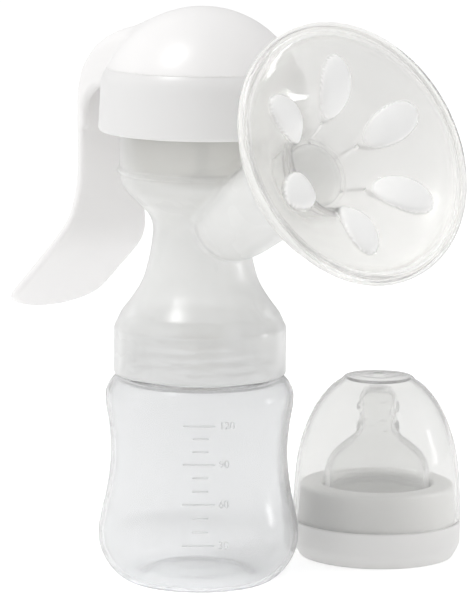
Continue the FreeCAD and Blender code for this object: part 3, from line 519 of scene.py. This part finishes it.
# Painted shade: the cap ring's white is darker than the handle's, for the shade on the cap's
# side.
cap_white_painted_shade = material("cap_ring_plastic_painted_shade", (0.76, 0.755, 0.75), 0.32, subsurface=0.15)
milky_plastic = clear_shell("milky_plastic", (0.97, 0.972, 0.965), (0.985, 0.985, 0.985),
                            0.5, 0.8, 0.28, 0.9, mask="horn", mask_haze=-0.25,
                            diffusing=0.5, vary=0.015)
clear_plastic = glassy("clear_plastic", (0.87, 0.874, 0.88), 0.1, 1.2, 0.14)
mark_plastic = glassy("clear_mark_plastic", (0.87, 0.874, 0.88), 0.2, 1.2, 0.45)
cap_plastic = glassy("clear_cap_plastic", (0.95, 0.95, 0.945), 0.08, 1.2, 0.17,
                     painted_edge_shade=0.75)
clear_silicone = glassy("clear_silicone", (0.925, 0.92, 0.907), 0.06, 1.25, 0.06,
                        mask="petal", mask_milky=0.8, diffusing=0.2, painted_edge_shade=0.55,
                        milky_colour=(0.98, 0.98, 0.978))
teat_silicone = glassy("teat_silicone", (0.97, 0.97, 0.965), 0.08, 1.22, 0.16)
milky_silicone = clear_shell("milky_silicone", (0.96, 0.94, 0.89), (1, 0.995, 0.98), 0.15,
                             0.5, 0.4, 0.85)
stem_plastic = material("stem_plastic", (0.62, 0.65, 0.64), 0.4)
pin_plastic = material("pin_plastic", (0.75, 0.75, 0.74), 0.35)


def dress(node, finish):
    """Give a CAD node that stays its finish."""
    piece = frame["nodes"][node]
    piece.data.materials.clear()
    piece.data.materials.append(finish)
    piece.data.shade_smooth()
    piece.data.set_sharp_from_angle(angle=math.radians(35))


# ---------------------------------------------------------------- bottle

BOTTLE_WALL = 1.5
THREAD_LEAD = 8.0


def bottle_line():
    """Middle of the bottle's wall, from the middle of its base up to the neck's rim."""
    inset = BOTTLE_WALL / 2
    base = curve([(0, 4), (8, 3.8), (14.5, 2.9), (17.5, 1.2), (20, 0.75), (23, 1.3),
                  (27, 4.6), (30, 10), (30.7, 15), (30, 20.5), (28.4, 27.5), (27.2, 36),
                  (27, 43), (27.6, 50), (28.6, 56.5), (28.5, 60.2), (26.5, 63.6),
                  (24, 64.6)])
    neck_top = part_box("bottle")[1].z / MM - inset
    neck = rounded([(24, 64.6), (21.1, 64.6, 1), (21.1, neck_top)])
    return np.concatenate([base[:-1], neck])


def bottle_thread(r, z, angle, out_r, out_z):
    start = foot("pump_body").z + 3
    height = ridge(z, angle, start, start + 7, THREAD_LEAD, 2, 2.2, 1.7)
    return np.where((out_r > 0.6) & (r > 21), height, 0)


def make_bottle():
    line = bottle_line()
    outline = wall(line, BOTTLE_WALL)
    outline = outline[outline[:, 0] >= -0.01]
    piece = lathe("milk_bottle", outline, (0, 0, 0), clear_plastic, relief=bottle_thread,
                  segments=224)
    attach(piece, "bottle")
    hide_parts("bottle")


SCALE_TURN = math.radians(-37)
FIGURE_SIZE = 3.4
BAR_SECTION = ((-0.3, -0.4), (-0.12, 0.1), (0.12, 0.1), (0.3, -0.4))


def on_wall(radius_at, u, v, out):
    """Point u round from the scale's middle and v up, standing out of a turned wall."""
    radius = radius_at(v)
    angle = SCALE_TURN + u / radius
    return ((radius + out) * math.cos(angle) * MM, (radius + out) * math.sin(angle) * MM,
            v * MM)


def make_marks(name, radius_at, bars, labels, finish):
    """Raised graduation: bars are (left, right, height) and labels (text, left, height)."""
    points, faces = [], []
    for left, right, height in bars:
        steps = np.linspace(left, right, 9)
        start = len(points)
        points += [on_wall(radius_at, u, height + up, out)
                   for u in steps for up, out in BAR_SECTION]
        for k in range(len(steps) - 1):
            a = start + 4 * k
            faces += [(a + i, a + (i + 1) % 4, a + 4 + (i + 1) % 4, a + 4 + i)
                      for i in range(4)]
        faces += [(start, start + 1, start + 2, start + 3)]
        last = start + 4 * (len(steps) - 1)
        faces += [(last + 3, last + 2, last + 1, last)]
    for text, left, height in labels:
        data = bpy.data.curves.new("figure", "FONT")
        data.body = text
        data.size = FIGURE_SIZE
        data.extrude = 0.3
        data.align_y = "CENTER"
        holder = bpy.data.objects.new("figure", data)
        figures = bpy.data.meshes.new_from_object(holder)
        start = len(points)
        points += [on_wall(radius_at, left + v.co.x, height + v.co.y, v.co.z - 0.2)
                   for v in figures.vertices]
        faces += [tuple(start + i for i in face.vertices) for face in figures.polygons]
        bpy.data.objects.remove(holder)
        bpy.data.curves.remove(data)
        bpy.data.meshes.remove(figures)
    return make_object(name, points, faces, finish)


def wall_radius(outline):
    """Radius of a turned wall's outside at a height, from its (radius, height) points."""
    ordered = outline[np.argsort(outline[:, 1])]
    return lambda z: float(np.interp(z, ordered[:, 1], ordered[:, 0]))


def make_bottle_scale():
    """Ticks each 10 ml, with figures each 30 ml."""
    side = bottle_line()
    side = side[(side[:, 1] > 6) & (side[:, 1] < 62)] + (BOTTLE_WALL / 2, 0)
    first, spacing = 17, 4.1
    bars, labels = [], []
    for step in range(10):
        height = first + spacing * step
        long = step % 3 == 0
        bars.append((-5 if long else -2, 5 if long else 3, height))
        if long:
            labels.append((str(30 + 10 * step), 6.2, height))
    piece = make_marks("bottle_scale_marks", wall_radius(side), bars, labels, mark_plastic)
    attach(piece, "bottle")


# ---------------------------------------------------------------- pump body

BODY_WALL = 1.8
FUNNEL_FOOT = (0, 0, BODY_Z + 42.2)


def pump_body_field():
    z0 = BODY_Z
    outside = np.concatenate([
        [(0, z0)],
        rounded([(0, z0), (26.9, z0, 0.6), (26.9, z0 + 14.6, 3), (24.8, z0 + 19)]),
        curve([(24.4, z0 + 19.6), (21.4, z0 + 23.6), (18.2, z0 + 29), (16.4, z0 + 35),
               (15.3, z0 + 41), (15, z0 + 46), (16.3, z0 + 49.8), (20.8, z0 + 54.4),
               (24.4, z0 + 58.6), (25.5, z0 + 62.4)]),
        rounded([(25.5, z0 + 62.6), (27, z0 + 63.7, 1), (25.5, z0 + 64.8), (25.5, z0 + 82.6),
                 (0, z0 + 82.6)]),
    ])
    t = BODY_WALL
    inside = np.concatenate([
        [(0, z0 + 18.2)],
        rounded([(0, z0 + 18.2), (20.4, z0 + 18.2, 2), (20, z0 + 22.6)]),
        curve([(19.8, z0 + 23), (16.6, z0 + 28.6), (14.6, z0 + 35), (13.5, z0 + 41),
               (13.2, z0 + 46.4), (14.6, z0 + 50.8), (19.2, z0 + 55.4), (22.8, z0 + 59.6),
               (23.7, z0 + 63)]),
        rounded([(25.5 - t, z0 + 64), (25.5 - t, z0 + 90), (0, z0 + 90)]),
    ])
    collar = rounded([(0, z0 - 5), (24.4, z0 - 5), (24.4, z0 + 15.4, 1.5),
                      (22, z0 + 16.4), (5.7, z0 + 16.4), (5.7, z0 + 8.2), (0, z0 + 8.2)])
    spigot_bore = rounded([(0, z0 - 5), (4.2, z0 - 5), (4.2, z0 + 22), (0, z0 + 22)])
    tube = np.concatenate([
        [(0, 6.6)],
        curve([(0, 6.6), (5.2, 7.7), (9.4, 10.6), (12.2, 15), (13, 20), (12.7, 36),
               (12.6, 50), (13.6, 55.6), (16.6, 59.4), (21.8, 63), (28.4, 67.6),
               (34.4, 72.6), (37.6, 77.6), (38.4, 82.4)]),
        [(0, 82.4)],
    ])
    tube_inside = np.concatenate([
        [(0, 8.4)],
        curve([(0, 8.4), (4.6, 9.4), (8.2, 12), (10.4, 15.4), (11.2, 20), (10.9, 36),
               (10.8, 50.6), (12.2, 57), (15.8, 60.8), (21, 64.2), (27.4, 68.6),
               (33.2, 73.4), (36.2, 78), (36.9, 84)]),
        [(0, 84)],
    ])
    parts = [turned_field(line) for line in (outside, inside, collar, spigot_bore)]
    slants = [turned_field(line, FUNNEL_FOOT, FUNNEL) for line in (tube, tube_inside)]

    def field(x, y, z):
        shell = carve(join(parts[0](x, y, z), slants[0](x, y, z), 2.2),
                      join(parts[1](x, y, z), slants[1](x, y, z), 1.5), 0.4)
        shell = carve(shell, parts[2](x, y, z), 0.5)
        return carve(shell, parts[3](x, y, z), 0.3)

    return field


def horn_mask(points):
    """1 on the funnel's flaring horn, which is clearer than the rest, and 0 elsewhere."""
    along = (points - np.array(FUNNEL_FOOT)) @ np.array(FUNNEL)
    return np.clip((along - 52) / 8, 0, 1)


def make_pump_body():
    low, high = (np.array(corner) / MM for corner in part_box("pump_body"))
    cell = 0.55
    piece = skin("pump_body_shell", pump_body_field(), low - 2, high + 2, cell, milky_plastic,
                 mask=("horn", horn_mask))
    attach(piece, "pump_head")
    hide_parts("pump_body")


# ---------------------------------------------------------------- massage shield

PETALS = 6
PETAL_MIDDLE = 22.4
PETAL_HALF_LENGTH = 8.7
PETAL_HALF_WIDTH = 5.6
PETAL_LIFT = 2.7
PETAL_PHASE = -6
STALK_DEPTH = 0.9
THROAT = 60.3
SHIELD_WALL = 1.5


def shield_line():
    """Middle of the shield's wall along the funnel's axis, from its sleeve to its rim."""
    return np.concatenate([
        [(9.8, 45), (9.8, 50), (9.8, 55)],
        curve([(9.8, THROAT), (11.3, 63), (13.6, 68.2), (17, 73.4),
               (21.5, 77), (28, 79.4), (34, 80.9), (37.4, 82.2), (38.9, 83.4)])[:-1],
        rounded([(38.9, 83.4), (40, 83.9, 0.9), (40.1, 81.6)], step=0.2)])


def leaf_place(r, angle):
    """How far out from the nearest leaf's middle, 1 at its edge, and distance aside."""
    turn = angle - math.radians(PETAL_PHASE)
    sector = 2 * math.pi / PETALS
    off = (turn + sector / 2) % sector - sector / 2
    across = r * np.sin(off)
    along = r * np.cos(off) - PETAL_MIDDLE
    return np.hypot(along / PETAL_HALF_LENGTH, across / PETAL_HALF_WIDTH), across


def mouth_side(r, out_r, out_z):
    return ((out_z > 0.15) | ((r < 14) & (out_r < 0))) & (r < 34)


def petals(r, z, angle, out_r, out_z):
    """Six raised leaves and their stalks, on the side that meets the skin."""
    leaf, across = leaf_place(r, angle)
    dome = np.clip(1 - leaf ** 2, 0, 1) ** 0.5
    edge = bump((leaf - 1) * PETAL_HALF_WIDTH, 0.4)
    stalk = bump(np.abs(across) - 0.5, 0.4) * (leaf > 1) * (r < PETAL_MIDDLE) * (r > 10)
    bead = 0.3 * bump(np.abs(z - THROAT) - 0.5, 0.7) * (r < 12)
    lift = PETAL_LIFT * edge * (0.15 + 0.85 * dome) - STALK_DEPTH * stalk + bead
    return np.where(mouth_side(r, out_r, out_z), lift, 0)


def petal_mask(r, z, angle, out_r, out_z):
    """1 on the leaves, which are milky, and part of that on the rim and the sleeve."""
    leaf, across = leaf_place(r, angle)
    inside = bump((leaf - 1) * PETAL_HALF_WIDTH, 0.4)
    sleeve = 0.5 * bump(z - THROAT - 1.5, 3)
    rim = 0.2 * bump(37.6 - r, 0.8)
    return np.maximum(np.where(mouth_side(r, out_r, out_z), inside, 0), sleeve + rim)


def make_massage_shield():
    outline = wall(shield_line(), SHIELD_WALL)
    piece = lathe("massage_shield_silicone", outline, FUNNEL_FOOT, clear_silicone,
                  relief=petals, segments=360, axis=FUNNEL, mask=("petal", petal_mask))
    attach(piece, "shield")
    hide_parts("massage_shield")


# ---------------------------------------------------------------- diaphragm

BELL_WALL = 1.3


def make_diaphragm():
    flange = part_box("diaphragm")[1].z / MM
    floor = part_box("diaphragm")[0].z / MM
    line = rounded([(6.6, floor + 0.7), (15.5, floor + 0.7), (20.6, floor + 1.6, 5),
                    (21, flange - 0.8, 0.8), (27, flange - 0.8)])
    piece = lathe("diaphragm_bell", wall(line, BELL_WALL), (0, 0, 0), milky_silicone)
    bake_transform(piece)
    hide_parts("diaphragm")


# ---------------------------------------------------------------- handle

ARM_WALL = 3.0
HOOD_FOOT = 150
CROWN = 0.012
TIP_ROUND = 8.5
DOME_RADIUS = 32.3
DOME_WALL = 2.5
CAP_ROOM = 32.4
LEVER_HALF = 6.5
HUB_RADIUS = 3.8
PIN_HOLE = 1.75
HANDLE_SWING = joint("handle_squeeze")["range_deg"][1]


def handle_outlines():
    """The handle from the side, as (x, z): its arm and hood filled in, and its hollow."""
    outer = curve([(-6, 175), (-14, 174.9), (-21, 174.2), (-30.8, 172), (-38, 168.8),
                   (-43.2, 165), (-47.6, 159.6), (-50.2, 151.4), (-50.9, 141), (-50.8, 128),
                   (-50.7, 118), (-52.2, 109.3), (-56.4, 102.4), (-62, 97.2), (-71, 89.8),
                   (-79, 83.2), (-85.2, 78)], step=1.0)
    way = np.gradient(outer, axis=0)
    way /= np.linalg.norm(way, axis=1)[:, None]
    inner = outer + np.stack([-way[:, 1], way[:, 0]], 1) * ARM_WALL
    low_arm = inner[inner[:, 1] < 139][::-1]
    hood = curve([(-47.1, 139.5), (-46.5, 145), (-44.6, 148.8), (-41.8, 151.4),
                  (-38.6, 153.2), (-34, 154.4), (-28, 156)], step=1.0)
    filled = np.concatenate([outer, low_arm, hood, [(-8, 158)]])
    hollow = np.concatenate([inner[inner[:, 1] > 130], [(-30, 130), (-8, 150)]])
    return filled, hollow


def lever_field(x, y, z):
    """Hub on the hinge pin, and the fork that lifts the stem."""
    px, pz = x - PIVOT.x, z - PIVOT.z
    hub = block(px, y, pz, (-3, -LEVER_HALF, 0), (HUB_RADIUS, LEVER_HALF, 11), 0.6)
    barrel = np.maximum(np.hypot(px, pz) - HUB_RADIUS, np.abs(y) - LEVER_HALF)
    plate = block(x, y, z, (PIVOT.x + 2, -LEVER_HALF, PIVOT.z - 0.6),
                  (4.5, LEVER_HALF, PIVOT.z + 1.4), 0.4)
    slot = block(x, y, z, (-5, -2.5, 150), (9, 2.5, 170), 0.3)
    lever = join(join(hub, barrel, 0.3), carve(plate, slot, 0.3), 0.6)
    return carve(lever, np.hypot(px, pz) - PIN_HOLE, 0.1)


def swung(x, z, angle):
    """Where a point of the handle is when the handle has turned by an angle in degrees."""
    c, s = math.cos(math.radians(angle)), math.sin(math.radians(angle))
    px, pz = x - PIVOT.x, z - PIVOT.z
    return PIVOT.x + px * c - pz * s, PIVOT.z + px * s + pz * c


def handle_field():
    filled, hollow = (section(outline) for outline in handle_outlines())
    widths = curve([(75, 17.4), (91, 17.6), (99, 17.6), (103.5, 16.8), (110, 14.6),
                    (120, 12.6), (130, 12), (142, 12.2), (152, 13.2), (162, 14),
                    (182, 14.4)], step=1.0)
    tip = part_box("handle")[0].z / MM
    centre = DOME_TOP - DOME_RADIUS
    rim = CAP_TOP - 0.3
    shoulder = CAP_Z + 14

    def cap(x, y, z):
        """Room for the cap ring, whose top edge is rounded above the shoulder."""
        wide = CAP_ROOM - np.clip((z - shoulder) / 3, 0, 2)
        return np.maximum(np.hypot(x, y) - wide, np.maximum(z - rim, CAP_Z - 1 - z))

    def field(x, y, z):
        half = np.interp(z, widths[:, 0], widths[:, 1])
        end = np.clip((tip + TIP_ROUND - z) / TIP_ROUND, 0, 1)
        half = half * np.sqrt(1 - end ** 3)
        crown = CROWN * y ** 2 * bump(HOOD_FOOT - z, 30)
        edge = 1.4 + 2.2 * bump(HOOD_FOOT - z, 24)
        arm = slab(filled(x, z + crown), np.abs(y) - half, edge)
        arm = carve(arm, slab(hollow(x, z + crown), np.abs(y) - half + 2.4, 0.8), 0.3)
        ball = np.sqrt(x * x + y * y + (z - centre) ** 2)
        dome = -join(-(ball - DOME_RADIUS), -(rim - z), 0.3)
        inner = -join(-(ball - DOME_RADIUS + DOME_WALL), -(rim - 3 - z), 0.5)
        shell = carve(join(arm, dome, 4.5), inner, 0.4)
        for angle in np.linspace(0, HANDLE_SWING + 0.5, 7):
            there, up = swung(x, z, angle)
            shell = carve(shell, cap(there, y, up), 0.3)
        return join(shell, lever_field(x, y, z), 0.8)

    return field


def make_handle():
    low, high = (np.array(corner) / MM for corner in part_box("handle"))
    cell = 0.55
    piece = skin("squeeze_handle", handle_field(), low - 2, high + 2, cell, white_gloss)
    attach(piece, "handle")
    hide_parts("handle")


# ---------------------------------------------------------------- teat set

TEAT_WALL = 1.6
TEAT_CAP_WALL = 1.2


def make_teat_ring():
    at = foot("teat_ring")
    outline = rounded([(24.4, 0, 0.4), (24.9, 0, 0.3), (27.1, 4, 5),
                       (27.2, 11.8, 0.5), (25.2, 11.8, 0.4), (25.2, 23.6, 1.2),
                       (17.9, 23.6, 0.8), (17.9, 21.6, 0.5), (23.2, 21.6, 0.5),
                       (23.2, 11.8, 0.5), (24.4, 10.6, 0.5)], closed=True)
    piece = lathe("teat_screw_ring", outline, at, white_ring)
    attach(piece, "teat_set")
    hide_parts("teat_ring")


def nipple_ribs(r, z, angle, out_r, out_z):
    """Slanting ribs round the nipple, on its outer face."""
    rib = ridge(z, angle, 40.5, 52, 12.0, 2, 2.6, 0.8)
    return np.where(out_r > 0.5, rib, 0)


def make_teat():
    set_foot = foot("teat_ring")
    line = np.concatenate([
        rounded([(22.9, 20.5), (16.2, 20.5, 0.8), (16.2, 26)]),
        curve([(16.2, 26.5), (15.6, 29.6), (13.6, 33), (10.2, 36), (7, 38.6), (5.5, 41.4),
               (5.2, 45), (5.3, 49.4), (5, 52), (3.2, 53.8), (0.4, 54.2)])])
    piece = lathe("teat_silicone_skin", wall(line, TEAT_WALL), set_foot, teat_silicone,
                  relief=nipple_ribs)
    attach(piece, "teat_set")
    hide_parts("teat")


def make_teat_cap():
    set_foot = foot("teat_ring")
    line = np.concatenate([
        curve([(26.6, 12.3), (26.5, 18), (26, 26), (24.7, 35), (21.8, 44), (18.4, 50.2),
               (14.6, 54.6), (11.8, 56.6)])[:-1],
        rounded([(11.8, 56.6), (10.6, 57.8, 0.6), (6, 58.3), (1.8, 58.5)])])
    piece = lathe("teat_dome_cap", wall(line, TEAT_CAP_WALL), set_foot, cap_plastic)
    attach(piece, "teat_cap")
    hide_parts("teat_cap")


# ---------------------------------------------------------------- studio

BRIGHT_SIDE = (-0.5, -0.34, 0.8)
DIM = 0.12
BRIGHT = 0.9
TABLE_GLOW = 0.42
TABLE_BOUNCE = 0.24


def make_floor():
    """Pale flat floor that glows a little, and less in what the clear pieces show."""
    mesh = bpy.data.meshes.new("floor")
    half = 6.0
    mesh.from_pydata([(-half, -half, 0), (half, -half, 0), (half, half, 0), (-half, half, 0)],
                     [], [(0, 1, 2, 3)])
    floor = bpy.data.objects.new("floor", mesh)
    bpy.context.scene.collection.objects.link(floor)
    paper = bpy.data.materials.new("floor_paper")
    paper.use_nodes = True
    nodes, links = paper.node_tree.nodes, paper.node_tree.links
    grain = nodes.new("ShaderNodeTexNoise")
    grain.inputs["Scale"].default_value = 3
    tone = nodes.new("ShaderNodeMix")
    tone.data_type = "RGBA"
    tone.inputs["A"].default_value = (0.93, 0.93, 0.93, 1)
    tone.inputs["B"].default_value = (0.95, 0.95, 0.95, 1)
    links.new(grain.outputs["Fac"], tone.inputs["Factor"])
    links.new(tone.outputs["Result"], nodes["Principled BSDF"].inputs["Base Color"])
    nodes["Principled BSDF"].inputs["Roughness"].default_value = 0.9
    nodes["Principled BSDF"].inputs["Specular IOR Level"].default_value = 0.1
    nodes["Principled BSDF"].inputs["Emission Color"].default_value = (1, 1, 1, 1)
    path = nodes.new("ShaderNodeLightPath")
    glow = add(nodes, "MapRange", To_Min=TABLE_BOUNCE, To_Max=TABLE_GLOW)
    links.new(path.outputs["Is Camera Ray"], glow.inputs["Value"])
    links.new(glow.outputs["Result"], nodes["Principled BSDF"].inputs["Emission Strength"])
    mesh.materials.append(paper)


def make_world():
    """Studio surround: bright from the left and above, dimmer towards the right."""
    world = bpy.data.worlds.new("studio")
    bpy.context.scene.world = world
    world.use_nodes = True
    nodes, links = world.node_tree.nodes, world.node_tree.links
    surround = nodes["Background"]
    where = nodes.new("ShaderNodeTexCoord")
    toward = nodes.new("ShaderNodeVectorMath")
    toward.operation = "DOT_PRODUCT"
    toward.inputs[1].default_value = BRIGHT_SIDE
    links.new(where.outputs["Generated"], toward.inputs[0])
    ramp = nodes.new("ShaderNodeValToRGB")
    ramp.color_ramp.elements[0].color = (*[DIM] * 3, 1)
    ramp.color_ramp.elements[1].color = (*[BRIGHT] * 3, 1)
    scale = add(nodes, "MapRange", From_Min=-1, From_Max=1)
    links.new(toward.outputs["Value"], scale.inputs["Value"])
    links.new(scale.outputs["Result"], ramp.inputs["Fac"])
    links.new(ramp.outputs["Color"], surround.inputs["Color"])
    backdrop = add(nodes, "Background", Color=(1, 1, 1, 1), Strength=1.0)
    path = nodes.new("ShaderNodeLightPath")
    choose = nodes.new("ShaderNodeMixShader")
    links.new(path.outputs["Is Camera Ray"], choose.inputs["Fac"])
    links.new(surround.outputs["Background"], choose.inputs[1])
    links.new(backdrop.outputs["Background"], choose.inputs[2])
    links.new(choose.outputs["Shader"], nodes["World Output"].inputs["Surface"])


def make_light(name, place_at, aim, size, power):
    data = bpy.data.lights.new(name, "AREA")
    data.shape = "RECTANGLE"
    data.size, data.size_y = size
    data.energy = power
    lamp = bpy.data.objects.new(name, data)
    bpy.context.scene.collection.objects.link(lamp)
    lamp.location = place_at
    lamp.rotation_euler = (Vector(aim) - Vector(place_at)).to_track_quat("-Z", "Y").to_euler()


VIEW_TURN = math.radians(53.08)
VIEW_DISTANCE = 1.2
VIEW_HEIGHT = 0.277
VIEW_DOWN = math.radians(8.92)
VIEW_ASIDE = math.atan(0.00975)
VIEW_ROLL = math.radians(0.6)
LENS = 233.8


def view_frame():
    """Directions from the object towards the camera, to its right, and up."""
    sin, cos = math.sin(VIEW_TURN), math.cos(VIEW_TURN)
    return Vector((sin, -cos, 0)), Vector((cos, sin, 0)), Vector((0, 0, 1))


def make_camera():
    data = bpy.data.cameras.new("camera")
    data.lens = LENS
    camera = bpy.data.objects.new("camera", data)
    bpy.context.scene.collection.objects.link(camera)
    bpy.context.scene.camera = camera
    home, right, up = view_frame()
    ahead = -home * math.cos(VIEW_ASIDE) + right * math.sin(VIEW_ASIDE)
    right = right * math.cos(VIEW_ASIDE) + home * math.sin(VIEW_ASIDE)
    down_ahead = ahead * math.cos(VIEW_DOWN) - up * math.sin(VIEW_DOWN)
    raised = up * math.cos(VIEW_DOWN) + ahead * math.sin(VIEW_DOWN)
    rolled_right = right * math.cos(VIEW_ROLL) + raised * math.sin(VIEW_ROLL)
    rolled_up = raised * math.cos(VIEW_ROLL) - right * math.sin(VIEW_ROLL)
    turn = Matrix((rolled_right, rolled_up, -down_ahead)).transposed().to_4x4()
    camera.matrix_world = Matrix.Translation(home * VIEW_DISTANCE + up * VIEW_HEIGHT) @ turn


def around(middle, turn, rise, distance):
    """Point at a turn to the camera's right and a rise above level, in degrees."""
    home, right, up = view_frame()
    c, w = math.cos(math.radians(turn)), math.sin(math.radians(turn))
    flat = math.cos(math.radians(rise))
    return middle + distance * (flat * (home * c + right * w)
                                + up * math.sin(math.radians(rise)))


def make_studio():
    make_floor()
    make_world()
    middle = (cad_box[0] + cad_box[1]) / 2
    make_light("key", around(middle, -57, 60, 0.9), middle, (0.16, 0.26), 2.6)
    make_light("side", around(middle, 92, 6, 0.6), middle, (0.06, 0.2), 0.62)
    make_camera()
    bpy.context.scene.view_settings.view_transform = "Standard"


make_bottle()
make_bottle_scale()
make_pump_body()
make_massage_shield()
make_diaphragm()
make_handle()
make_teat_ring()
make_teat()
make_teat_cap()
dress("cap_ring", cap_white_painted_shade)
dress("hinge_pin", pin_plastic)
dress("diaphragm_stem", stem_plastic)
dress("duckbill_valve", milky_silicone)
make_studio()
